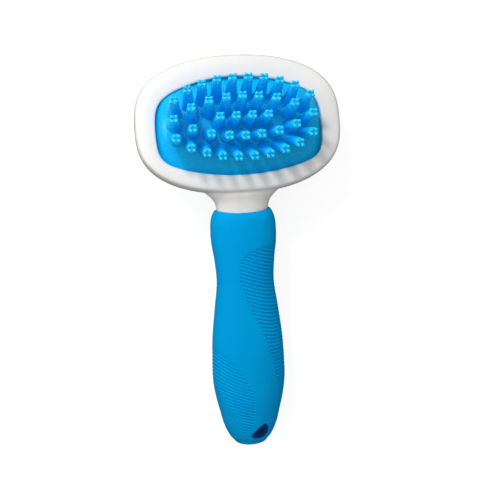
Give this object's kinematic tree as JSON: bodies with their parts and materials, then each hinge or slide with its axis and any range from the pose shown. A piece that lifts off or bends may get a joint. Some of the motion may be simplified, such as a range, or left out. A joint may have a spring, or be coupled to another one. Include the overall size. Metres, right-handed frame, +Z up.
{
  "type": "rubber cushion massage brush",
  "caption": "Oval hand brush with rows of soft rubber bristles on a vented air cushion, a white shell and a ribbed soft grip with a hanging hole.",
  "frame": {"origin": "middle of the bounding box's bottom, on the table that the brush lies on, bristles up", "axes": "+Z up, away from the table; +Y from the handle's butt towards the head's far end; +X across the head, the side that the hanging hole is on"},
  "size_m": [0.092, 0.179, 0.0411],
  "materials": {
    "white_shell": "moulded white ABS, semi-gloss",
    "inner_plastic": "moulded, unpolished",
    "pad_rubber": "soft blue rubber, satin to glossy",
    "grip_rubber": "soft-touch blue, matte, with ribbed fields",
    "screw_steel": "zinc plated"
  },
  "bodies": {
    "brush": {"head_bezel": "white_shell", "body_shell": "white_shell", "core_cover": "inner_plastic", "cushion_skirt": "pad_rubber", "pad_backing_plate": "inner_plastic", "grip_sleeve": "grip_rubber", "plate_screw_1": "screw_steel", "plate_screw_2": "screw_steel", "plate_screw_3": "screw_steel", "plate_screw_4": "screw_steel", "core_screw_1": "screw_steel", "core_screw_2": "screw_steel", "core_screw_3": "screw_steel"},
    "cushion_middle": {"cushion_centre": "pad_rubber"},
    "cushion_outer": {"cushion_ring": "pad_rubber"}
  },
  "joints": [
    {"name": "cushion_press", "type": "slide", "parent": "brush", "child": "cushion_middle", "axis": [0, -0.2224, -0.975], "range_m": [0, 0.0024], "stiffness_N_per_m": 900},
    {"name": "ring_press", "type": "slide", "parent": "brush", "child": "cushion_outer", "axis": [0, -0.2224, -0.975], "range_m": [0, 0.0019]}
  ],
  "couplings": [
    {"joint": "ring_press", "follows": "cushion_press", "ratio": 0.76}
  ]
}
